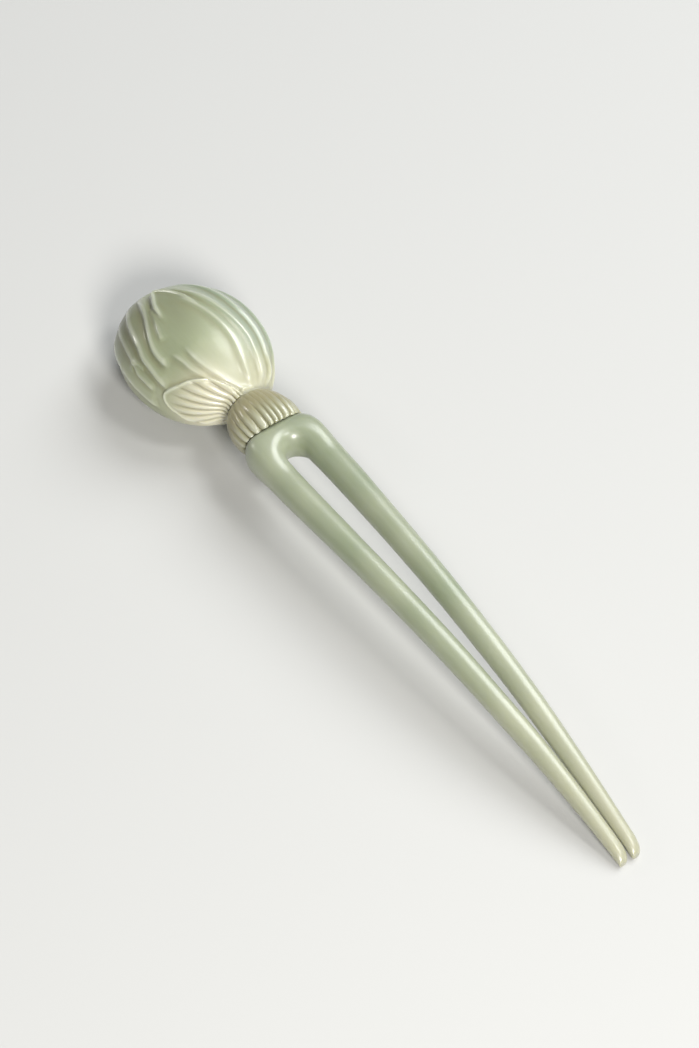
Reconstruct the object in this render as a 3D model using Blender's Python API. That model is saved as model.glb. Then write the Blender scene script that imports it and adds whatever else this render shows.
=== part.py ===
"""Decorative two-prong hair pin: a pleated flower bud, a fluted collar and an arched fork on a hidden dowel.

The pin lies on its back on the bench: bud at -X, tips at +X, the arch rising in +Z. Lengths are in
millimetres and become metres when a mesh is made. "Station" is the distance along X from the bud's centre.
"""
import math

import bmesh
import bpy

MM = 0.001
GAP = 0.3  # clearance between pieces that meet

# Overall layout
TOTAL_LENGTH = 150.0
BUD_POLE = -17.0  # station of the bud's far end
TIP_STATION = TOTAL_LENGTH + BUD_POLE
MID_STATION = BUD_POLE + TOTAL_LENGTH / 2

# Bud
BUD_HALF_WIDTH = 13.6
BUD_HALF_HEIGHT = 10.1
BUD_BACK_AXIAL = 17.0
BUD_FRONT_AXIAL = 17.3
BUD_NECK = 18.3
BUD_TILT = math.radians(4.0)
NECK_HALF_WIDTH = 4.2
NECK_HALF_HEIGHT = 3.6
REST_FACET = 0.25  # depth polished off the lowest point of the bud
BUD_RINGS = 38
BUD_AROUND = 60
PETAL_RISE = 0.55
PLEAT_DEPTH = 0.28
NECK_PLEATS = 22

# Collar
COLLAR_START = BUD_NECK * math.cos(BUD_TILT) + GAP
COLLAR_RIM = 27.5
RIM_SADDLE = 0.5
FLUTES = 26
FLUTE_DEPTH = 0.38
SOCKET_GAP = 0.15  # round the crown where it seats in the collar's mouth

# Fork
CROWN_STATION = 29.6
CROWN_RADIAL = 2.9
CROWN_SWELL = 1.3  # how much taller the crown is than the prongs
CROWN_OUTER = 26.4
CROWN_SQUARENESS = 4.0
BEND_START = 34.9
PRONG_FLATNESS = 0.86
TIP_SLIT = 0.16
TIP_SLANT = 2.8
TIP_RADIUS = 1.26
ARCH_TOP_STATION = 56.0
ARCH_TOP = 11.9
ARCH_DROP = 11.1
ARCH_RUN = 77.2
ARCH_POWER = 2.3
ROOT_DROP = 0.4

# Dowel
DOWEL_RADIUS = 1.2
DOWEL_TILT = math.radians(2.5)
DOWEL_FROM = 8.2
DOWEL_TO = 29.5
BORE_RADIUS = DOWEL_RADIUS + GAP


def smooth(t):
    t = min(max(t, 0.0), 1.0)
    return t * t * (3 - 2 * t)


def smooth_max(a, b, k):
    return 0.5 * (a + b + math.sqrt((a - b) ** 2 + k * k))


def along(points, t):
    """Straight-line value of a list of (t, value) at t."""
    if t <= points[0][0]:
        return points[0][1]
    for (t0, v0), (t1, v1) in zip(points, points[1:]):
        if t <= t1:
            return v0 + (v1 - v0) * (t - t0) / (t1 - t0)
    return points[-1][1]


def arch_height(station):
    """Height of the fork's centreline: level at the collar, highest a third of the way, down at the tips."""
    if station > ARCH_TOP_STATION:
        return ARCH_TOP - ARCH_DROP * ((station - ARCH_TOP_STATION) / ARCH_RUN) ** ARCH_POWER
    return ARCH_TOP - ROOT_DROP * ((ARCH_TOP_STATION - station) / 30.0) ** 2


def mesh_object(name, rings, closed_loop=False, caps=True):
    """An object from rings of (x, y, z) millimetre points, each ring joined to the next."""
    bm = bmesh.new()
    rows = [[bm.verts.new((x * MM, y * MM, z * MM)) for x, y, z in ring] for ring in rings]
    pairs = list(zip(rows, rows[1:]))
    if closed_loop:
        pairs.append((rows[-1], rows[0]))
    for a, b in pairs:
        n = len(a)
        for i in range(n):
            bm.faces.new((a[i], a[(i + 1) % n], b[(i + 1) % n], b[i]))
    if caps and not closed_loop:
        bm.faces.new(rows[0])
        bm.faces.new(rows[-1])
    bmesh.ops.recalc_face_normals(bm, faces=bm.faces)
    mesh = bpy.data.meshes.new(name)
    bm.to_mesh(mesh)
    bm.free()
    if sum(p.normal.dot(p.center - centre_of(mesh)) * p.area for p in mesh.polygons) < 0:
        mesh.flip_normals()
    obj = bpy.data.objects.new(name, mesh)
    bpy.context.scene.collection.objects.link(obj)
    for polygon in mesh.polygons:
        polygon.use_smooth = True
    return obj


def centre_of(mesh):
    total = mesh.vertices[0].co.copy()
    for vertex in mesh.vertices[1:]:
        total += vertex.co
    return total / len(mesh.vertices)


def material(name, colour, roughness, metallic=0.0):
    made = bpy.data.materials.new(name)
    made.use_nodes = True
    shader = made.node_tree.nodes["Principled BSDF"]
    shader.inputs["Base Color"].default_value = (*colour, 1.0)
    shader.inputs["Roughness"].default_value = roughness
    shader.inputs["Metallic"].default_value = metallic
    made.diffuse_color = (*colour, 1.0)
    return made


# The big top petal lies between these two edges. Each is (degrees from the neck, degrees round from the top).
TOP_PETAL_RIGHT = ((20, -50), (48, -31), (67, -19), (97, -14), (128, -7), (142, 4))
TOP_PETAL_LEFT = ((20, 6), (38, 13), (61, 21), (90, 24), (126, 18), (142, 8))
# Rims of the petals below it, as ridges.
RIDGES = (
    ((20, -66), (55, -49), (76, -42), (104, -36), (140, -33)),
    ((20, -84), (60, -72), (104, -62), (150, -60)),
    ((20, -110), (80, -100), (150, -96)),
    ((20, -140), (80, -132), (150, -140)),
    ((60, 78), (79, 61), (110, 50), (139, 48), (160, 60)),
    ((60, 100), (77, 75), (97, 66), (120, 80), (150, 92)),
    ((20, 118), (80, 112), (150, 122)),
    ((20, 150), (80, 156), (150, 162)),
)


def turned(degrees):
    """An angle brought to between -180 and 180."""
    return (degrees + 180.0) % 360.0 - 180.0


def bud_relief(from_neck, around):
    """Height of the carving above the plain bud, in mm, at two angles in degrees."""
    rise = 0.0
    right = along(TOP_PETAL_RIGHT, from_neck)
    left = along(TOP_PETAL_LEFT, from_neck)
    inside = smooth((around - right) / 5.0) * smooth((left - around) / 5.0)
    rise += PETAL_RISE * inside * smooth((143.0 - from_neck) / 7.0)
    for ridge in RIDGES:
        off = turned(around - along(ridge, from_neck)) / 6.5
        ends = smooth((from_neck - ridge[0][0]) / 12.0) * smooth((ridge[-1][0] - from_neck) / 14.0)
        rise += 0.4 * ends * math.exp(-off * off) * (1.0 - 0.7 * inside)
    near_neck = smooth((66.0 - from_neck) / 36.0)
    rise += PLEAT_DEPTH * near_neck * math.cos(math.radians(around * NECK_PLEATS))
    return rise


def bud_ring(u, around_count):
    """One ring of the bud's skin at distance u along its own axis, in the bud's own axes."""
    axial = BUD_FRONT_AXIAL if u > 0 else BUD_BACK_AXIAL
    root = math.sqrt(max(1.0 - (u / axial) ** 2, 0.0))
    wide = smooth_max(BUD_HALF_WIDTH * root, NECK_HALF_WIDTH if u > 0 else 0.0, 1.2 * smooth(u / 8.0))
    high = smooth_max(BUD_HALF_HEIGHT * root, NECK_HALF_HEIGHT if u > 0 else 0.0, 1.2 * smooth(u / 8.0))
    from_neck = math.degrees(math.acos(min(max(u / BUD_NECK, -0.97), 1.0)))
    ring = []
    for i in range(around_count):
        angle = 360.0 * i / around_count
        rise = bud_relief(from_neck, turned(angle)) * min(1.0, wide / 3.0)
        side = -math.sin(math.radians(angle))
        up = math.cos(math.radians(angle))
        ring.append((u, side * (wide + rise), up * (high + rise)))
    return ring


def circle(u, radius, count):
    turns = [math.radians(360.0 * i / count) for i in range(count)]
    return [(u, -math.sin(t) * radius, math.cos(t) * radius) for t in turns]


def bud_to_bench(point):
    """From the bud's own axes to the bench's, with the bud nodding down and resting on its facet."""
    u, v, w = point
    x = u * math.cos(BUD_TILT) - w * math.sin(BUD_TILT)
    z = u * math.sin(BUD_TILT) + w * math.cos(BUD_TILT)
    return (x - MID_STATION, v, z)


def build_bud():
    rings = []
    for k in range(1, BUD_RINGS + 1):
        share = k / BUD_RINGS
        u = -BUD_BACK_AXIAL + (BUD_NECK + BUD_BACK_AXIAL) * (0.5 - 0.5 * math.cos(math.pi * share ** 0.93))
        rings.append(bud_ring(min(u, BUD_NECK), BUD_AROUND))
    rings[-1] = bud_ring(BUD_NECK, BUD_AROUND)
    placed = [[bud_to_bench(p) for p in ring] for ring in rings]
    floor = min(p[2] for ring in placed for p in ring) + REST_FACET
    seated = [[(x, y, max(z, floor) - floor) for x, y, z in ring] for ring in placed]
    for station in (BUD_NECK * math.cos(BUD_TILT), DOWEL_FROM - GAP):
        seated.append(bore_ring(station, -floor, BUD_AROUND))
    return mesh_object("bud", seated), -floor


def axis_height(station, bud_lift):
    """Height of the line through neck, collar and crown."""
    neck = bud_lift + BUD_NECK * math.sin(BUD_TILT)
    blend = smooth((station - BUD_NECK * math.cos(BUD_TILT)) / 12.0)
    return neck * (1 - blend) + arch_height(station) * blend


# Outline of the collar from its top edge, over the dome and the tucked rim, to the dowel hole:
# (share of the collar's length, share of the rim's half-width).
# The collar's dome: (share of its length, half-width, half-height).
COLLAR_OUTLINE = (
    (0.00, 3.9, 3.3), (0.00, 4.4, 3.8), (0.02, 4.8, 4.15), (0.08, 5.3, 4.55), (0.20, 5.95, 5.0), (0.38, 6.5, 5.4),
    (0.58, 6.85, 5.6), (0.76, 6.9, 5.5), (0.90, 6.8, 5.15), (0.97, 6.6, 4.85), (1.00, 6.25, 4.5), (0.98, 5.8, 4.1),
)


def collar_ring(share, wide, high, bud_lift, count):
    ring = []
    tilt = math.tan(BUD_TILT) * (1.0 - smooth(share))
    middle = COLLAR_START + share * (COLLAR_RIM - COLLAR_START)
    centre = axis_height(middle, bud_lift)
    strength = (0.25 + 0.75 * smooth((share - 0.1) / 0.8)) * smooth((wide - 4.6) / 1.0)
    for i in range(count):
        angle = 2 * math.pi * i / count
        flute = FLUTE_DEPTH * (abs(math.cos(0.5 * FLUTES * angle)) - 0.6) * strength
        station = middle + RIM_SADDLE * math.cos(2 * angle) * smooth(share) - tilt * math.cos(angle) * high
        ring.append((station - MID_STATION, -math.sin(angle) * (wide + flute),
                     centre + math.cos(angle) * (high + flute)))
    return ring


def bore_ring(station, bud_lift, count, radius=BORE_RADIUS):
    x, z = dowel_line(station, bud_lift)
    return [(x + dx, y, z + dz) for dx, y, dz in circle(0.0, radius, count)]


def dowel_line(station, bud_lift):
    """A point of the dowel's straight axis, which passes through the middle of the bud's neck."""
    neck = bud_lift + BUD_NECK * math.sin(BUD_TILT)
    return station - MID_STATION, neck + (station - BUD_NECK * math.cos(BUD_TILT)) * math.tan(DOWEL_TILT)


def build_collar(bud_lift):
    count = FLUTES * 4
    rings = [collar_ring(share, wide, high, bud_lift, count) for share, wide, high in COLLAR_OUTLINE]
    rings.append(bore_ring(COLLAR_RIM - 0.5, bud_lift, count))
    rings.append(bore_ring(COLLAR_START, bud_lift, count))
    collar = mesh_object("collar", rings, closed_loop=True)
    apply_boolean(collar, mesh_object("socket", crown_rings(SOCKET_GAP)), "DIFFERENCE")
    return collar


PRONG_OFFSET = ((34.7, 5.10), (43.0, 5.00), (58.0, 4.49), (73.0, 3.90), (87.0, 3.26), (96.0, 2.88), (104.0, 2.48),
                (108.0, 2.2), (125.0, 1.0))
PRONG_RADIUS = (
    (34.7, 3.08), (43.0, 2.98), (58.0, 2.70), (73.0, 2.52), (87.0, 2.36), (96.0, 2.22), (104.0, 2.12),
    (109.0, 2.02), (117.0, 1.78), (125.0, 1.50), (131.0, 1.28), (133.0, TIP_RADIUS),
)


def prong_radius(station):
    return along(PRONG_RADIUS, station)


def prong_offset(station):
    """Half the distance between the prongs' centrelines: they come together over the last fifth."""
    together = prong_radius(station) + TIP_SLIT / 2
    return smooth_max(along(PRONG_OFFSET, station), together, 0.2)


def fork_stations():
    count = 36
    first, last = BEND_START, TIP_STATION - TIP_SLANT
    shaft = [first + (last - first) * k / count for k in range(count)]
    return shaft + [last + TIP_SLANT * k / 5 for k in range(6)]


def crown_rise(station):
    return CROWN_SWELL * smooth((38.5 - station) / 8.5)


def section(centre, outwards, inner, outer, high, power=2.0, count=20):
    """An oval section, fuller on its outward side: outwards is a unit (x, y) direction in plan."""
    ring = []
    for i in range(count):
        t = 2 * math.pi * i / count
        c, d = math.cos(t), math.sin(t)
        wide, squareness = (outer, power) if c > 0 else (inner, 2.0)
        reach = (abs(c / wide) ** squareness + abs(d / high) ** squareness) ** (-1 / squareness)
        ring.append((centre[0] + outwards[0] * c * reach, centre[1] + outwards[1] * c * reach,
                     centre[2] + d * reach))
    return ring


def prong_rings(side):
    """Sections of one prong; over the last few millimetres its +Y side is cut away on a slant."""
    rings = []
    for station in fork_stations():
        r = prong_radius(station)
        high = r * PRONG_FLATNESS + crown_rise(station)
        beyond = max((station - (TIP_STATION - TIP_SLANT)) / TIP_SLANT, 0.0)
        shrink = 1 - 0.20 * beyond ** 1.6 - 0.22 * beyond ** 7
        y = side * prong_offset(station) - r * (1 - shrink) * 0.85
        z = arch_height(station) - high * (1 - shrink) * 0.5
        rings.append(section((station - MID_STATION, y, z), (0.0, side), r * shrink, r * shrink, high * shrink))
    return rings


def outer_reach(station, y, gx, gy):
    """How far a point of the bend is from the crown's squared outline, going outwards."""
    deep, broad = BEND_START - CROWN_OUTER, prong_offset(BEND_START) + prong_radius(BEND_START)
    near, far = 0.0, 8.0
    for _ in range(30):
        t = (near + far) / 2
        across, aside = abs(BEND_START - station - gx * t) / deep, abs(y + gy * t) / broad
        if across ** CROWN_SQUARENESS + aside ** CROWN_SQUARENESS > 1.0:
            far = t
        else:
            near = t
    return near


def crown_rings(grow=0.0):
    """The bend that joins the prongs, from the -Y prong round to the +Y prong."""
    offset, first_radius = prong_offset(BEND_START), prong_radius(BEND_START)
    reach = BEND_START - CROWN_STATION
    count = 30
    rings = []
    for k in range(1, count):
        turn = math.pi * k / count
        swell = math.sin(turn)
        thick = first_radius + (CROWN_RADIAL - first_radius) * swell
        station, y = BEND_START - reach * swell, -offset * math.cos(turn)
        # The outward direction in plan is square to the ellipse that the bend follows.
        gx, gy = -swell / reach, -math.cos(turn) / offset
        size = math.hypot(gx, gy)
        gx, gy = gx / size, gy / size
        outer = outer_reach(station, y, gx, gy) + grow
        high = thick * PRONG_FLATNESS + crown_rise(station) + grow
        centre = (station - MID_STATION, y, arch_height(station))
        rings.append(section(centre, (gx, gy), thick + grow, outer, high, 2 + swell))
    return rings


def build_fork_bend():
    left = prong_rings(-1.0)
    right = prong_rings(1.0)
    return mesh_object("fork", left[::-1] + crown_rings() + right)


def cylinder(name, start, stop, radius, bud_lift, count=32):
    rings = [bore_ring(start, bud_lift, count, radius), bore_ring(stop, bud_lift, count, radius)]
    return mesh_object(name, rings)


def apply_boolean(target, other, operation):
    """Carries out the boolean at once and takes the other object away."""
    modifier = target.modifiers.new(operation, "BOOLEAN")
    modifier.operation = operation
    modifier.solver = "EXACT"
    modifier.object = other
    graph = bpy.context.evaluated_depsgraph_get()
    made = bpy.data.meshes.new_from_object(target.evaluated_get(graph))
    target.modifiers.clear()
    target.data = made
    bpy.data.objects.remove(other)


def build_fork(bud_lift):
    fork = build_fork_bend()
    apply_boolean(fork, cylinder("bore", 20.0, DOWEL_TO + GAP, BORE_RADIUS, bud_lift), "DIFFERENCE")
    for polygon in fork.data.polygons:
        polygon.use_smooth = True
    return fork


def build_dowel(bud_lift):
    return cylinder("dowel", DOWEL_FROM, DOWEL_TO, DOWEL_RADIUS, bud_lift)


def clear_scene():
    for obj in list(bpy.data.objects):
        bpy.data.objects.remove(obj)


def main():
    clear_scene()
    bud, bud_lift = build_bud()
    collar = build_collar(bud_lift)
    fork = build_fork(bud_lift)
    dowel = build_dowel(bud_lift)
    bud.data.materials.append(material("celadon_bud", (0.50, 0.55, 0.42), 0.22))
    collar.data.materials.append(material("olive_collar", (0.42, 0.41, 0.25), 0.25))
    fork.data.materials.clear()
    fork.data.materials.append(material("celadon_fork", (0.53, 0.56, 0.43), 0.2))
    dowel.data.materials.append(material("brass_dowel", (0.70, 0.52, 0.25), 0.3, 1.0))


main()
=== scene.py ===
"""Looks of the decorative hair pin: a carved celadon flower bud, its fluted collar and the polished fork.

Lengths inside the shape functions are millimetres in the row frame, and become metres when a mesh is made.
"Station" is the distance along X from the bud's centre, as in the CAD source.
"""

import math

import bpy
import numpy as np
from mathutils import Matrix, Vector

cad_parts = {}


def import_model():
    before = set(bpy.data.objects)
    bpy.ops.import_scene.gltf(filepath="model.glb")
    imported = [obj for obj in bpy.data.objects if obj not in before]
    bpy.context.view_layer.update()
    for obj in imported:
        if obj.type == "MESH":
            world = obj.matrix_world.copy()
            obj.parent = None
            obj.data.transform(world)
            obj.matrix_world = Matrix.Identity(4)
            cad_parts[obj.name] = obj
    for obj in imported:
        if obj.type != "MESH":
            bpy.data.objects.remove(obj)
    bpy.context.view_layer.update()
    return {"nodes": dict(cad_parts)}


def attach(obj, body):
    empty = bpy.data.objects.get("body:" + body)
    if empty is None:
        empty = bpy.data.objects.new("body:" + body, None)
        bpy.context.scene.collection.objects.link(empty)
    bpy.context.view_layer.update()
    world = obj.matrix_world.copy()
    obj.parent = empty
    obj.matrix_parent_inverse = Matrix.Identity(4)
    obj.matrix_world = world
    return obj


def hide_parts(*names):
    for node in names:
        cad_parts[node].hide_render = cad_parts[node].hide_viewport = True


MM = 0.001
GAP = 0.3

# Layout
TOTAL_LENGTH = 150.0
BUD_POLE = -17.0
TIP_STATION = TOTAL_LENGTH + BUD_POLE
MID_STATION = BUD_POLE + TOTAL_LENGTH / 2

# Bud
BUD_HALF_WIDTH = 13.6
BUD_HALF_HEIGHT = 10.1
BUD_BACK_AXIAL = 17.0
BUD_FRONT_AXIAL = 17.3
BUD_NECK = 18.3
BUD_TILT = math.radians(4.0)
NECK_HALF_WIDTH = 4.2
NECK_HALF_HEIGHT = 3.6
REST_FACET = 0.25  # depth polished off the lowest point of the bud
BUD_RINGS = 300
BUD_AROUND = 420
MAP_PER_DEGREE = 0.30  # mm along the bud's skin for a degree from the neck
MAP_RADIUS = 11.5  # mm from the axis to the skin, half-way along the bud

# Collar
COLLAR_START = BUD_NECK * math.cos(BUD_TILT) + GAP
COLLAR_RIM = 27.5
RIM_SADDLE = 0.5
FLUTE_DEPTH = 0.42
SOCKET_GAP = 0.12  # round the crown where it seats in the collar's mouth
SOCKET_AROUND = 56
COLLAR_AROUND = 480

# Fork
CROWN_STATION = 29.6
CROWN_RADIAL = 2.9
CROWN_SWELL = 1.3
CROWN_OUTER = 26.4
CROWN_SQUARENESS = 4.0
BEND_START = 34.9
PRONG_FLATNESS = 0.86
TIP_SLIT = 0.16
TIP_SLANT = 2.8
ARCH_TOP_STATION = 56.0
ARCH_TOP = 11.9
ARCH_DROP = 11.1
ARCH_RUN = 77.2
ARCH_POWER = 2.3
ROOT_DROP = 0.4
SECTION_AROUND = 72

# Dowel
DOWEL_TILT = math.radians(2.5)
DOWEL_FROM = 8.2
DOWEL_TO = 29.5
BORE_RADIUS = 1.5
DRILL_FROM = 20.0
DRILL_AROUND = 64

# Finish
SHARP_EDGE = math.radians(50.0)
FLOOR_COLOUR = (0.53, 0.53, 0.52, 1.0)
WORLD_COLOUR = (0.95, 0.98, 1.0, 1.0)
WORLD_STRENGTH = 0.14

# Camera
CAMERA_AIM = (-13.1, 4.36, 0.0)
CAMERA_DISTANCE = 539.4
CAMERA_TURN = math.radians(-35.5)
CAMERA_RISE = math.radians(50.0)
CAMERA_LENS = 100.0
SENSOR_WIDTH = 36.0


# ---------------------------------------------------------------- numbers and curves

def smooth(t):
    t = np.clip(t, 0.0, 1.0)
    return t * t * (3 - 2 * t)


def smooth_max(a, b, k):
    return 0.5 * (a + b + np.sqrt((a - b) ** 2 + k * k))


def along(points, t):
    """Straight-line value of a list of (t, value) at t."""
    return np.interp(t, [p[0] for p in points], [p[1] for p in points])


def softly_along(points, t, width):
    """The same, averaged over a width so that it has no corners."""
    shifts = np.linspace(-1.0, 1.0, 9) * width
    return sum(along(points, np.asarray(t, float) + s) for s in shifts) / len(shifts)


def arch_height(station):
    station = np.asarray(station, float)
    beyond = np.maximum(station - ARCH_TOP_STATION, 0.0) / ARCH_RUN
    before = np.maximum(ARCH_TOP_STATION - station, 0.0) / 30.0
    return ARCH_TOP - ARCH_DROP * beyond ** ARCH_POWER - ROOT_DROP * before ** 2


def curve_through(points, count=48):
    """Points along a smooth curve through the given ones."""
    p = np.array(points, float)
    p = np.vstack([2 * p[0] - p[1], p, 2 * p[-1] - p[-2]])
    out = []
    spans = len(p) - 3
    for t in np.linspace(0, spans, count):
        i = min(int(t), spans - 1)
        f = t - i
        a, b, c, d = p[i:i + 4]
        out.append(0.5 * (2 * b + (c - a) * f + (2 * a - 5 * b + 4 * c - d) * f**2
                          + (3 * b - a - 3 * c + d) * f**3))
    return np.array(out)


# ---------------------------------------------------------------- meshes

def grid_object(name, rings, loop=False):
    """An object from rings of millimetre points, joined in a loop or capped at its ends."""
    rings = np.asarray(rings, float)
    count, around = rings.shape[:2]
    verts = [rings.reshape(-1, 3)]
    index = np.arange(count * around).reshape(count, around)
    following = np.roll(index, -1, axis=1)
    rows = [(k, (k + 1) % count) for k in range(count if loop else count - 1)]
    faces = []
    for a, b in rows:
        faces += np.stack([index[a], following[a], following[b], index[b]], axis=1).tolist()
    if not loop:
        for first, row in ((True, 0), (False, count - 1)):
            centre = rings[row].mean(axis=0)
            verts.append(centre[None])
            tip = count * around + (0 if first else 1)
            a, b = index[row], following[row]
            fan = np.stack([b, a, np.full(around, tip)] if first else [a, b, np.full(around, tip)], axis=1)
            faces += fan.tolist()
    mesh = bpy.data.meshes.new(name)
    mesh.from_pydata((np.vstack(verts) * MM).tolist(), [], faces)
    mesh.validate()
    mesh.update()
    if signed_volume(mesh) < 0:
        mesh.flip_normals()
    mesh.polygons.foreach_set("use_smooth", np.ones(len(mesh.polygons), bool))
    obj = bpy.data.objects.new(name, mesh)
    bpy.context.scene.collection.objects.link(obj)
    return obj


def signed_volume(mesh):
    points = np.empty(len(mesh.vertices) * 3)
    mesh.vertices.foreach_get("co", points)
    points = points.reshape(-1, 3)
    mesh.calc_loop_triangles()
    corners = np.empty(len(mesh.loop_triangles) * 3, np.int32)
    mesh.loop_triangles.foreach_get("vertices", corners)
    a, b, c = (points[corners.reshape(-1, 3)[:, k]] for k in range(3))
    return float((a * np.cross(b, c)).sum())


# ---------------------------------------------------------------- bud

# Carved lines of the bud, as (degrees from the neck, degrees round from the top towards -Y).
TOP_PETAL = (
    (16, -15), (34, -12), (48, -14), (62, -15), (75, -15), (90, -13), (108, -11), (123, -6), (132, 2),
    (129, 9), (122, 13), (112, 18), (100, 20), (90, 20), (76, 19), (63, 20), (49, 19), (35, 13), (16, -3),
)
# Each ridge: points, height, width on its steep side, width on its gentle side.
RIDGES = (
    (((15, -6), (22, 2), (36, 16), (49, 22), (62, 24), (76, 22)), 0.34, 0.35, 1.2),
    (((20, 18), (36, 27), (55, 34), (65, 34), (78, 36)), 0.30, 0.35, 1.2),
    (((14, -34), (34, -21), (46, -18), (60, -18),
      (75, -16), (90, -12), (103, -7), (113, -1)), 0.46, 0.6, 2.6),
    (((15, -66), (34, -48), (48, -39), (60, -35), (72, -30),
      (85, -25), (99, -20), (120, -11), (146, 2)), 0.60, 0.6, 2.6),
    (((15, -88), (37, -71), (46, -59), (60, -52),
      (75, -46), (88, -41), (114, -36), (152, -30)), 0.58, 0.55, 2.4),
    (((15, -104), (30, -98), (46, -82), (70, -70), (90, -64), (130, -62), (154, -54)), 0.55, 0.6, 2.4),
    (((15, -124), (40, -108), (80, -94), (132, -90), (155, -84)), 0.50, 0.7, 2.6),
    (((15, -148), (40, -138), (80, -124), (135, -118), (155, -112)), 0.45, 0.8, 2.6),
    (((60, 68), (70, 63), (78, 59), (87, 56), (94, 52),
      (100, 50), (113, 47), (128, 45), (154, 46)), 0.62, 0.35, 1.8),
    (((68, 47), (76, 46), (84, 44), (91, 40), (99, 35),
      (108, 30), (116, 27), (128, 25), (150, 25)), 0.52, 0.32, 1.5),
    (((84, 34), (92, 29), (100, 25), (108, 22), (114, 20)), 0.26, 0.3, 1.0),
    (((70, 78), (77, 74), (85, 72), (90, 68), (100, 64), (118, 63), (150, 72)), 0.42, 0.3, 1.4),
    (((82, 64), (89, 63), (93, 68), (90, 76)), 0.24, 0.3, 0.7),
    (((66, 98), (84, 90), (110, 86), (154, 96)), 0.50, 0.6, 2.2),
    (((24, 128), (60, 120), (100, 114), (154, 118)), 0.50, 0.7, 2.4),
    (((20, 168), (60, 156), (100, 150), (154, 146)), 0.30, 0.8, 2.4),
)
FRONT_PETAL_RIM = (
    (6, 4), (18, 9), (28, 16), (36, 24), (43, 29), (49, 37), (54, 46), (58, 57), (62, 66), (64, 74), (61, 85),
    (52, 98), (38, 112), (22, 124), (6, 134),
)


def flat_map(theta, phi):
    """Millimetres along the bud and round it, at two angles in degrees."""
    return theta * MAP_PER_DEGREE, np.radians(phi) * MAP_RADIUS * np.maximum(np.sin(np.radians(theta)), 0.3)


def on_bud(points):
    """Carved-line points turned to millimetres on a flat map of the bud: (along the axis, round it)."""
    theta, phi = np.array(points, float).T
    return np.stack(flat_map(theta, phi), axis=1)


def signed_distance(px, py, line):
    """Distance from each point to a polyline, positive to its left, and the share of the line's length."""
    best = np.full(px.shape, 1e9)
    sign = np.ones(px.shape)
    share = np.zeros(px.shape)
    for k in range(len(line) - 1):
        a, b = line[k], line[k + 1]
        d = b - a
        t = np.clip(((px - a[0]) * d[0] + (py - a[1]) * d[1]) / max(d @ d, 1e-9), 0, 1)
        ox, oy = px - a[0] - t * d[0], py - a[1] - t * d[1]
        dist = np.hypot(ox, oy)
        near = dist < best
        best = np.where(near, dist, best)
        sign = np.where(near, np.sign(d[0] * oy - d[1] * ox), sign)
        share = np.where(near, (k + t) / (len(line) - 1), share)
    return best * sign, share


def bud_relief(theta, phi):
    """Height of the carving above the plain bud, in mm, at two angles in degrees."""
    px, py = flat_map(theta, phi)
    rise = np.zeros(theta.shape)
    petal, _ = signed_distance(px, py, on_bud(curve_through(TOP_PETAL, 90)))
    inside = smooth(petal / 0.6 + 0.5)
    outer = smooth((theta - 92.0) / 22.0)
    rise += 0.55 * (inside - 0.5) * np.exp(-np.abs(petal) / 3.5) * outer
    rise += 0.34 * np.exp(-((petal - 0.35) / 0.38) ** 2) * outer
    for points, height, steep, gentle in RIDGES:
        d, share = signed_distance(px, py, on_bud(curve_through(points)))
        width = np.where(d > 0, steep, gentle)
        ends = smooth(share / 0.12) * smooth((1 - share) / 0.2)
        near_neck = 1 + 0.5 * smooth((52 - theta) / 24)
        rise += height * near_neck * ends * np.exp(-(np.abs(d) / width) ** 1.5)
    rim, share = signed_distance(px, py, on_bud(curve_through(FRONT_PETAL_RIM, 70)))
    ends = smooth((share - 0.08) / 0.12) * smooth((0.92 - share) / 0.12)
    in_front = smooth(rim / 0.3 + 0.5) * smooth((phi - 8) / 10) * smooth((128 - phi) / 12)
    rise += 0.26 * ends * np.exp(-((rim - 0.2) / 0.24) ** 2)
    rise += 0.34 * in_front * np.exp(-np.abs(rim) / 4.0)
    wander = phi * 28.5 + 16 * np.sin(np.radians(phi * 5)) + 14 * np.sin(np.radians(theta * 6))
    flutes = np.abs(np.cos(np.radians(wander * 0.5))) ** 0.8 - 0.6
    rise += 0.46 * in_front * smooth((62 - theta) / 18) * flutes
    under = smooth((np.abs(phi + 5.0) - 112.0) / 16.0)
    gather = smooth((52.0 - theta) / 26.0) * under * (1 - in_front)
    rise += 0.34 * gather * (np.abs(np.cos(np.radians(phi * 10.5))) ** 0.8 - 0.6)
    rise -= 0.10 * smooth((34.0 - theta) / 14.0)
    return rise


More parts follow.
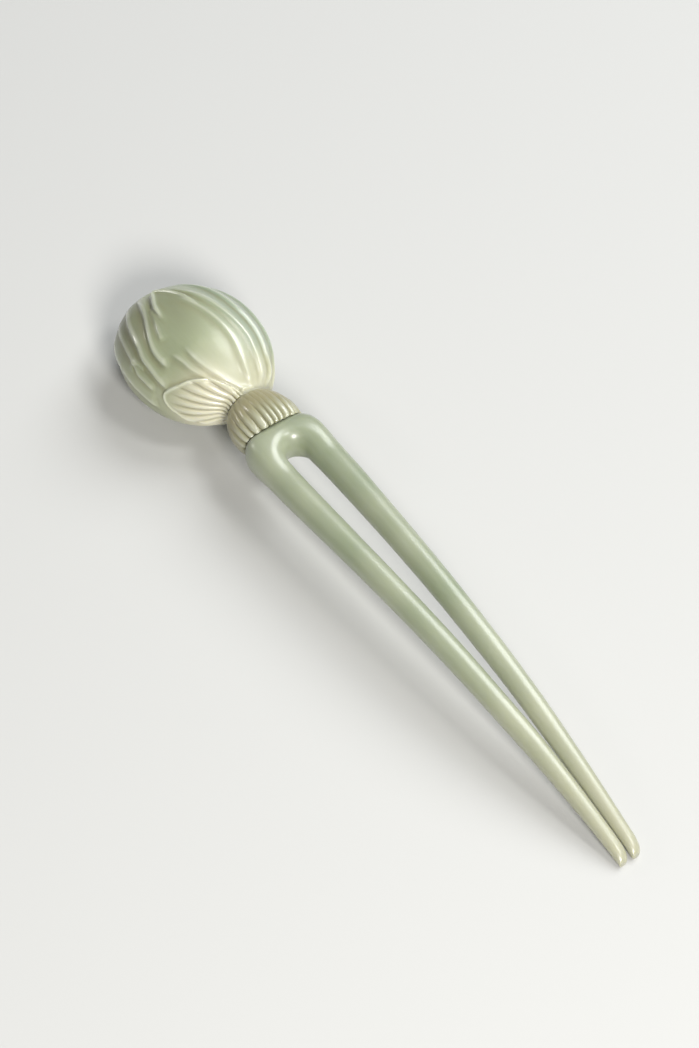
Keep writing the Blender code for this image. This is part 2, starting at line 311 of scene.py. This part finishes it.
def bud_skin():
    """The bud's skin in its own axes, its carving's height, and the fields that tint it with painted shade
    and a cream that is partly painted glow.
    """
    share = np.linspace(0.004, 1.0, BUD_RINGS)
    u = -BUD_BACK_AXIAL + (BUD_NECK + BUD_BACK_AXIAL) * (0.5 - 0.5 * np.cos(math.pi * share ** 0.93))
    u = np.minimum(u, BUD_NECK)[:, None]
    phi = (np.arange(BUD_AROUND) * 360.0 / BUD_AROUND)[None, :]
    phi = (phi + 180.0) % 360.0 - 180.0
    axial = np.where(u > 0, BUD_FRONT_AXIAL, BUD_BACK_AXIAL)
    root = np.sqrt(np.maximum(1.0 - (u / axial) ** 2, 0.0))
    blend = 1.2 * smooth(u / 8.0)
    wide = smooth_max(BUD_HALF_WIDTH * root, np.where(u > 0, NECK_HALF_WIDTH, 0.0), blend)
    high = smooth_max(BUD_HALF_HEIGHT * root, np.where(u > 0, NECK_HALF_HEIGHT, 0.0), blend)
    theta = np.degrees(np.arccos(np.clip(u / BUD_NECK, -0.97, 1.0)))
    theta, phi = np.broadcast_arrays(theta, phi)
    rise = bud_relief(theta, phi) * np.minimum(1.0, wide / 3.0)
    side, up = -np.sin(np.radians(phi)), np.cos(np.radians(phi))
    lean = np.stack([np.broadcast_to(u / axial**2, phi.shape), side / wide, up / high], axis=-1)
    lean /= np.linalg.norm(lean, axis=-1, keepdims=True)
    skin = np.stack([np.broadcast_to(u, phi.shape), side * wide, up * high], axis=-1)
    lean[..., 0] *= smooth((BUD_NECK - u) / 3.0)
    # Painted shade: darker in the hollows between the back-left petals.
    painted_shade = smooth((theta - 84) / 20) * smooth((152 - theta) / 20)
    painted_shade = painted_shade * smooth((phi - 16) / 14) * smooth((84 - phi) / 16)
    # Painted shade: darker on the upper part of the central petal.
    shade = 0.75 * np.exp(-((theta - 100) / 18) ** 2 - ((phi - 5) / 13) ** 2)
    # Paler cream towards the neck on the front and left: partly the stone's own tone, partly a painted glow.
    cream_and_painted_glow = smooth((66 - theta) / 30) * smooth((phi - 2) / 30) * smooth((150 - phi) / 20)
    # Painted shade: the right side of the bud darker and bluer.
    painted_cool_shade = smooth((-phi - 8) / 35) * smooth((phi + 176) / 60) * smooth((theta - 38) / 25)
    tints = {"painted_shade": np.maximum(painted_shade, shade), "cream_and_painted_glow": cream_and_painted_glow, "painted_cool_shade": painted_cool_shade}
    return skin + lean * rise[..., None], rise, tints


def bud_to_bench(p):
    x = p[..., 0] * math.cos(BUD_TILT) - p[..., 2] * math.sin(BUD_TILT)
    z = p[..., 0] * math.sin(BUD_TILT) + p[..., 2] * math.cos(BUD_TILT)
    return np.stack([x - MID_STATION, p[..., 1], z], axis=-1)


def crests(skin_height, reach_along, reach_round):
    """How far each point of a relief stands above its neighbourhood, in mm."""
    mean = skin_height.copy()
    for axis, reach in ((0, reach_along), (1, reach_round)):
        shifted = [np.roll(mean, k, axis=axis) for k in range(-reach, reach + 1)]
        mean = sum(shifted) / len(shifted)
    return skin_height - mean


def mark(obj, name, values):
    """Stores a value for each of the first points of a mesh, for its material to read."""
    everywhere = np.zeros(len(obj.data.vertices), np.float32)
    everywhere[:values.size] = values.ravel()
    obj.data.attributes.new(name, "FLOAT", "POINT").data.foreach_set("value", everywhere)


def make_bud(lift):
    skin, rise, tints = bud_skin()
    skin = bud_to_bench(skin)
    skin[..., 2] = np.maximum(skin[..., 2] + lift, 0.0)
    bores = [bore_ring(s, lift, BUD_AROUND) for s in (BUD_NECK * math.cos(BUD_TILT), DOWEL_FROM - GAP)]
    bud = grid_object("carved_bud", np.concatenate([skin, np.stack(bores)]))
    # The crest heights also tint the bud: paler crests are painted highlight, darker grooves painted shade.
    mark(bud, "crest", crests(rise, 5, 8))
    for name, values in tints.items():
        mark(bud, name, values)
    return bud


# ---------------------------------------------------------------- dowel line and collar

def dowel_line(station, lift):
    neck = lift + BUD_NECK * math.sin(BUD_TILT)
    return station - MID_STATION, neck + (station - BUD_NECK * math.cos(BUD_TILT)) * math.tan(DOWEL_TILT)


def bore_ring(station, lift, count, radius=BORE_RADIUS):
    x, z = dowel_line(station, lift)
    t = np.arange(count) * 2 * math.pi / count
    return np.stack([np.full(count, x), -np.sin(t) * radius, z + np.cos(t) * radius], axis=1)


def axis_height(station, lift):
    neck = lift + BUD_NECK * math.sin(BUD_TILT)
    blend = smooth((station - BUD_NECK * math.cos(BUD_TILT)) / 12.0)
    return neck * (1 - blend) + arch_height(station) * blend


# The collar's dome: (share of its length, half-width, half-height).
COLLAR_OUTLINE = (
    (0.00, 3.9, 3.3), (0.00, 4.4, 3.8), (0.02, 4.8, 4.15), (0.08, 5.3, 4.55), (0.20, 5.95, 5.0),
    (0.38, 6.5, 5.4), (0.58, 6.85, 5.6), (0.76, 6.9, 5.5), (0.90, 6.8, 5.15), (0.97, 6.6, 4.85),
    (1.00, 6.25, 4.5), (0.98, 5.8, 4.1),
)
FLUTE_EVERY = 13.0  # degrees


def flute_wave(angle):
    """1 on the ridge of a flute and 0 in the groove between two, at an angle in degrees from the top."""
    warped = angle + 3.0 * np.sin(np.radians(angle * 3 + 20)) + 2.0 * np.sin(np.radians(angle * 7))
    return np.abs(np.cos(np.radians(warped * 180.0 / FLUTE_EVERY))) ** 0.7


def make_collar(lift):
    outline = curve_through(COLLAR_OUTLINE, 90)
    share, wide, high = (outline[:, k][:, None] for k in range(3))
    turn = (np.arange(COLLAR_AROUND) * 360.0 / COLLAR_AROUND)[None, :]
    signed = (turn + 180.0) % 360.0 - 180.0
    near_rim = smooth((share - 0.1) / 0.8)
    calm = 0.25 + 0.75 * smooth((72.0 - np.abs(signed - 18.0)) / 20.0)
    wave = (flute_wave(signed) - 0.6) * calm * smooth((wide - 4.6) / 1.0)
    flute = FLUTE_DEPTH * wave * (0.25 + 0.75 * near_rim)
    station = COLLAR_START + share * (COLLAR_RIM - COLLAR_START)
    centre = axis_height(station, lift)
    a = np.radians(turn)
    tilt = math.tan(BUD_TILT) * (1.0 - smooth(share))
    x = station + (RIM_SADDLE * np.cos(2 * a) + 0.5 * wave) * smooth(share) - tilt * np.cos(a) * high
    x, a = np.broadcast_arrays(x, a)
    rings = np.stack([x - MID_STATION, -np.sin(a) * (wide + flute), centre + np.cos(a) * (high + flute)],
                     axis=-1)
    bores = [bore_ring(s, lift, COLLAR_AROUND) for s in (COLLAR_RIM - 0.5, COLLAR_START)]
    collar = grid_object("fluted_collar", np.concatenate([rings, np.stack(bores)]), loop=True)
    # Painted highlight on the flute crests near the rim and painted shade in the grooves between them.
    mark(collar, "crest", 0.42 * wave * near_rim ** 2)
    return cut_away(collar, grid_object("socket", crown_block(SOCKET_GAP)))


# ---------------------------------------------------------------- fork

# Of each prong: (station, distance of its middle from the pin's middle), then (station, half-width).
PRONG_OFFSET = (
    (34.7, 5.10), (43.0, 5.00), (58.0, 4.49), (73.0, 3.90), (87.0, 3.26), (96.0, 2.88), (104.0, 2.48),
    (108.0, 2.2), (125.0, 1.0),
)
PRONG_RADIUS = (
    (34.7, 3.08), (43.0, 2.98), (58.0, 2.70), (73.0, 2.52), (87.0, 2.36), (96.0, 2.22), (104.0, 2.12),
    (109.0, 2.02), (117.0, 1.78), (125.0, 1.50), (131.0, 1.32), (133.0, 1.26),
)


def prong_radius(station):
    return softly_along(PRONG_RADIUS, station, 3.0)


def prong_offset(station):
    together = prong_radius(station) + TIP_SLIT / 2
    return smooth_max(softly_along(PRONG_OFFSET, station, 3.0), together, 0.2)


def outer_reach(s, y, gx, gy):
    """How far each point of the bend is from the crown's squared outline, going outwards."""
    deep, broad = BEND_START - CROWN_OUTER, prong_offset(BEND_START) + prong_radius(BEND_START)
    steps = np.linspace(0.0, 6.0, 601)[:, None]
    across = np.abs(BEND_START - s - gx * steps) / deep
    aside = np.abs(y + gy * steps) / broad
    outside = across ** CROWN_SQUARENESS + aside ** CROWN_SQUARENESS > 1.0
    return steps[np.argmax(outside, axis=0), 0]


def fork_path():
    """Sections from the -Y tip round the crown to the +Y tip.

    Each row: station, y, outward direction (2), inner half-width, half-height, outer half-width, squareness.
    """
    run = BEND_START + (TIP_STATION - BEND_START) * np.linspace(0, 1, 240) ** 0.92
    r, off = prong_radius(run), prong_offset(run)
    turn = np.linspace(0, math.pi, 170)[1:-1]
    swell = np.sin(turn)
    thick = r[0] + (CROWN_RADIAL - r[0]) * swell
    reach = BEND_START - CROWN_STATION
    s, y = BEND_START - reach * swell, -off[0] * np.cos(turn)
    g = np.stack([-np.sin(turn) / reach, -np.cos(turn) / off[0]], axis=1)
    g /= np.linalg.norm(g, axis=1, keepdims=True)
    out = outer_reach(s, y, g[:, 0], g[:, 1])
    bend = np.stack([s, y, g[:, 0], g[:, 1], thick, thick * PRONG_FLATNESS, out, 2 + swell], axis=1)
    one = np.ones(len(run))
    left, right = (np.stack([run, side * off, 0 * one, side * one, r, r * PRONG_FLATNESS, r, 2 * one], axis=1)
                   for side in (-1, 1))
    path = np.concatenate([left[::-1], bend, right])
    path[:, 5] += CROWN_SWELL * smooth((38.5 - path[:, 0]) / 8.5)
    return path


def sections(path, around, grow=0.0):
    """Rings of points round the path, each fuller on its outward side; grow makes them larger."""
    turn = np.arange(around) * 2 * math.pi / around
    c, d = np.cos(turn), np.sin(turn)
    s, y, gx, gy, inner, high, outer, power = (path[:, k][:, None] for k in range(8))
    wide = np.where(c > 0, outer, inner) + grow
    power = np.where(c > 0, power, 2.0)
    reach = (np.abs(c / wide) ** power + np.abs(d / (high + grow)) ** power) ** (-1 / power)
    x = s + gx * c * reach - MID_STATION
    return np.stack([x, y + gy * c * reach, arch_height(s) + d * reach], axis=-1)


def crown_block(grow):
    """The bend alone with its inside filled, for cutting the collar's socket."""
    path = fork_path()
    bend = path[np.abs(path[:, 0] - CROWN_STATION) < BEND_START - CROWN_STATION]
    return sections(bend, SOCKET_AROUND, grow)


def rounded_tips(path, rings):
    """Blunt ends: over the last few millimetres the +Y side of each prong is cut away on a slant."""
    ends = []
    for k in range(len(path)):
        beyond = max((path[k, 0] - (TIP_STATION - TIP_SLANT)) / TIP_SLANT, 0.0)
        shrink = 1 - 0.20 * beyond ** 1.6 - 0.22 * beyond ** 7
        r = path[k, 4]
        keep_side = np.array([0.0, -r * (1 - shrink) * 0.85, -r * PRONG_FLATNESS * (1 - shrink) * 0.5])
        centre = np.array([path[k, 0] - MID_STATION, path[k, 1], float(arch_height(path[k, 0]))])
        ends.append(centre + keep_side + (rings[k] - centre) * shrink)
    return np.stack(ends)


def cut_away(obj, cutter):
    """The object with the cutter's shape removed from it."""
    cut = obj.modifiers.new("cut", "BOOLEAN")
    cut.operation = "DIFFERENCE"
    cut.solver = "EXACT"
    cut.object = cutter
    graph = bpy.context.evaluated_depsgraph_get()
    obj.data = bpy.data.meshes.new_from_object(obj.evaluated_get(graph))
    obj.modifiers.clear()
    bpy.data.objects.remove(cutter)
    obj.data.polygons.foreach_set("use_smooth", np.ones(len(obj.data.polygons), bool))
    obj.data.set_sharp_from_angle(angle=SHARP_EDGE)
    return obj


def make_fork(lift):
    path = fork_path()
    fork = grid_object("polished_fork", rounded_tips(path, sections(path, SECTION_AROUND)))
    ends = [bore_ring(station, lift, DRILL_AROUND) for station in (DRILL_FROM, DOWEL_TO + GAP)]
    return cut_away(fork, grid_object("drill", np.stack(ends)))


# ---------------------------------------------------------------- materials

class Nodes:
    """Short calls for building one material's node tree."""

    def __init__(self, name):
        self.material = bpy.data.materials.new(name)
        self.material.use_nodes = True
        self.tree = self.material.node_tree
        self.shader = self.tree.nodes["Principled BSDF"]
        self.place = self.tree.nodes.new("ShaderNodeTexCoord").outputs["Object"]

    def link(self, a, b):
        self.tree.links.new(a, b)

    def stretched(self, scale):
        node = self.tree.nodes.new("ShaderNodeMapping")
        node.inputs["Scale"].default_value = scale
        self.link(self.place, node.inputs["Vector"])
        return node.outputs["Vector"]

    def noise(self, vector, scale, detail=3.0, rough=0.5, distortion=0.0):
        node = self.tree.nodes.new("ShaderNodeTexNoise")
        node.inputs["Scale"].default_value = scale
        node.inputs["Detail"].default_value = detail
        node.inputs["Roughness"].default_value = rough
        node.inputs["Distortion"].default_value = distortion
        self.link(vector, node.inputs["Vector"])
        return node.outputs["Fac"]

    def ramp(self, value, stops):
        node = self.tree.nodes.new("ShaderNodeValToRGB")
        elements = node.color_ramp.elements
        while len(elements) < len(stops):
            elements.new(0.5)
        for element, (at, colour) in zip(elements, stops):
            element.position = at
            element.color = (*colour, 1.0) if len(colour) == 3 else colour
        self.link(value, node.inputs["Fac"])
        return node.outputs["Color"]

    def spread(self, value, low, high, to_low, to_high):
        node = self.tree.nodes.new("ShaderNodeMapRange")
        for key, number in (("From Min", low), ("From Max", high), ("To Min", to_low), ("To Max", to_high)):
            node.inputs[key].default_value = number
        self.link(value, node.inputs["Value"])
        return node.outputs["Result"]

    def mix(self, how, share, a, b):
        node = self.tree.nodes.new("ShaderNodeMix")
        node.data_type = "RGBA"
        node.blend_type = how
        for socket, value in ((node.inputs[0], share), (node.inputs[6], a), (node.inputs[7], b)):
            if isinstance(value, (int, float)):
                socket.default_value = value
            elif isinstance(value, tuple):
                socket.default_value = (*value, 1.0)
            else:
                self.link(value, socket)
        return node.outputs[2]

    def attribute(self, name):
        node = self.tree.nodes.new("ShaderNodeAttribute")
        node.attribute_name = name
        return node.outputs["Fac"]

    def along_x(self):
        node = self.tree.nodes.new("ShaderNodeSeparateXYZ")
        self.link(self.place, node.inputs["Vector"])
        return node.outputs["X"]

    def bump(self, height, strength, distance, below=None):
        node = self.tree.nodes.new("ShaderNodeBump")
        node.inputs["Strength"].default_value = strength
        node.inputs["Distance"].default_value = distance
        self.link(height, node.inputs["Height"])
        if below is not None:
            self.link(below, node.inputs["Normal"])
        return node.outputs["Normal"]


# Painted light over the stone: point attribute, its value where the tint starts and is full, share, colour.
# Painted shade in the hollows and on the right, a cream partly the stone's own tone and partly painted glow,
# painted shade in the grooves and painted highlight on the crests.
PAINTED_LIGHT_TINTS = (
    ("painted_shade", 0.0, 1.0, 0.62, (0.17, 0.175, 0.10)),
    ("painted_cool_shade", 0.0, 1.0, 0.6, (0.22, 0.29, 0.22)),
    ("cream_and_painted_glow", 0.0, 1.0, 0.75, (0.66, 0.62, 0.47)),
    # Painted shade in the grooves, then painted highlight on the crests.
    ("crest", -0.02, -0.14, 0.45, (0.22, 0.21, 0.11)),
    ("crest", 0.02, 0.16, 0.4, (0.60, 0.62, 0.52)),
)


def jade(name, deep, middle, pale, warm, warm_from, warm_to, painted_light=False, gloss=0.26):
    """A pale, slightly translucent polished stone, warmer between two places along X. With painted_light,
    point attributes paint shade, highlights and a partly painted glow into its colour, and the crests set its
    coat weight.
    """
    n = Nodes(name)
    cloud = n.noise(n.place, 70.0, 1.0, 0.4)
    colour = n.ramp(cloud, ((0.25, deep), (0.50, middle), (0.75, pale)))
    fibre = n.noise(n.stretched((1.0, 14.0, 14.0)), 90.0, 3.0, 0.5)
    streaks = n.ramp(fibre, ((0.25, (0.94, 0.95, 0.92)), (0.75, (1.0, 1.0, 1.0))))
    colour = n.mix("MULTIPLY", 1.0, colour, streaks)
    warmth = n.spread(n.along_x(), warm_from, warm_to, 0.0, 1.0)
    colour = n.mix("MIX", warmth, colour, warm)
    # Paints shade, highlights and a partly painted glow into the colour from the point attributes.
    if painted_light:
        for field, start, full, most, tint in PAINTED_LIGHT_TINTS:
            share = n.spread(n.attribute(field), start, full, 0.0, most)
            colour = n.mix("MIX", share, colour, tint)
        n.link(n.spread(n.attribute("crest"), -0.01, 0.06, 0.25, 1.0), n.shader.inputs["Coat Weight"])
    n.link(colour, n.shader.inputs["Base Color"])
    polish = n.noise(n.place, 420.0, 3.0, 0.6)
    n.link(n.spread(polish, 0.3, 0.7, 0.38, 0.46), n.shader.inputs["Roughness"])
    fine = n.bump(n.noise(n.place, 1500.0, 2.0, 0.5), 0.05, 0.0002)
    n.link(n.bump(fibre, 0.04, 0.0002, fine), n.shader.inputs["Normal"])
    n.shader.inputs["Subsurface Weight"].default_value = 0.5
    n.shader.inputs["Subsurface Radius"].default_value = (1.0, 1.0, 0.6)
    n.shader.inputs["Subsurface Scale"].default_value = 0.0012
    n.shader.inputs["Coat Weight"].default_value = 0.8
    n.shader.inputs["Coat Roughness"].default_value = gloss
    n.shader.inputs["IOR"].default_value = 1.61
    return n.material


def brass(name):
    n = Nodes(name)
    lines = n.noise(n.stretched((1.0, 20.0, 20.0)), 300.0, 3.0)
    tone = n.ramp(lines, ((0.3, (0.55, 0.38, 0.15)), (0.7, (0.74, 0.55, 0.27))))
    n.link(tone, n.shader.inputs["Base Color"])
    n.link(n.spread(lines, 0.3, 0.7, 0.28, 0.42), n.shader.inputs["Roughness"])
    n.shader.inputs["Metallic"].default_value = 1.0
    return n.material


def wear(obj, material):
    obj.data.materials.clear()
    obj.data.materials.append(material)


# ---------------------------------------------------------------- stage

def make_floor():
    bpy.ops.mesh.primitive_plane_add(size=6.0, location=(0.0, 0.0, 0.0))
    floor = bpy.context.object
    floor.name = "floor"
    material = bpy.data.materials.new("floor_paper")
    material.use_nodes = True
    shader = material.node_tree.nodes["Principled BSDF"]
    shader.inputs["Base Color"].default_value = FLOOR_COLOUR
    shader.inputs["Roughness"].default_value = 0.9
    floor.data.materials.append(material)
    return floor


# Each lamp: name, direction it stands in, distance, width, power, colour.
LIGHTS = (
    ("key", (-0.20, 0.92, 1.0), 1.0, 0.75, 8.6, (0.97, 0.99, 1.0)),
    ("bridge", (0.42, 0.32, 0.90), 0.9, 0.22, 2.3, (1.0, 1.0, 0.98)),
    ("front", (0.78, -0.27, 0.60), 0.9, 0.25, 8.5, (1.0, 0.98, 0.94)),
    ("side", (-0.9, -0.35, 0.45), 0.9, 0.16, 0.7, (1.0, 0.97, 0.93)),
)
LIGHTS_AIM = Vector((0.0, 0.0, 0.01))


def area_light(name, towards, distance, size, power, colour):
    light = bpy.data.lights.new(name, "AREA")
    light.shape = "DISK"
    light.size = size
    light.energy = power
    light.color = colour
    obj = bpy.data.objects.new(name, light)
    bpy.context.scene.collection.objects.link(obj)
    direction = Vector(towards).normalized()
    obj.location = LIGHTS_AIM + direction * distance
    obj.rotation_euler = direction.to_track_quat("Z", "Y").to_euler()
    return obj


def make_lights():
    world = bpy.data.worlds.new("studio")
    world.use_nodes = True
    background = world.node_tree.nodes["Background"]
    background.inputs["Color"].default_value = WORLD_COLOUR
    background.inputs["Strength"].default_value = WORLD_STRENGTH
    bpy.context.scene.world = world
    for light in LIGHTS:
        area_light(*light)


def make_camera():
    camera = bpy.data.cameras.new("camera")
    camera.lens = CAMERA_LENS
    camera.sensor_width = SENSOR_WIDTH
    obj = bpy.data.objects.new("camera", camera)
    bpy.context.scene.collection.objects.link(obj)
    direction = Vector((math.cos(CAMERA_RISE) * math.cos(CAMERA_TURN),
                        math.cos(CAMERA_RISE) * math.sin(CAMERA_TURN), math.sin(CAMERA_RISE)))
    obj.location = (Vector(CAMERA_AIM) + direction * CAMERA_DISTANCE) * MM
    obj.rotation_euler = direction.to_track_quat("Z", "Y").to_euler()
    camera.clip_start = 0.01
    bpy.context.scene.camera = obj


def main():
    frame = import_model()
    skin = bud_to_bench(bud_skin()[0])
    lift = -(float(skin[..., 2].min()) + REST_FACET)
    celadon = jade("celadon_carved", (0.27, 0.30, 0.19), (0.34, 0.37, 0.24), (0.41, 0.43, 0.30),
                   (0.52, 0.50, 0.37), -0.053, -0.037, painted_light=True, gloss=0.16)
    olive = jade("olive_fluted", (0.22, 0.20, 0.105), (0.29, 0.265, 0.15), (0.36, 0.325, 0.20),
                 (0.33, 0.335, 0.225), -0.036, -0.029, painted_light=True, gloss=0.12)
    smooth_celadon = jade("celadon_polished", (0.25, 0.29, 0.19), (0.30, 0.33, 0.23), (0.35, 0.375, 0.27),
                          (0.38, 0.375, 0.27), 0.03, 0.075)
    for obj, node, slot, material in (
        (make_bud(lift), "bud", "celadon_bud", celadon),
        (make_collar(lift), "collar", "olive_collar", olive),
        (make_fork(lift), "fork", "celadon_fork", smooth_celadon),
    ):
        wear(obj, material)
        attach(obj, "root")
        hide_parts(node)
    dowel = frame["nodes"]["dowel"]
    wear(dowel, brass("brass_peg"))
    make_floor()
    make_lights()
    make_camera()
    bpy.context.scene.view_settings.view_transform = "Standard"


main()
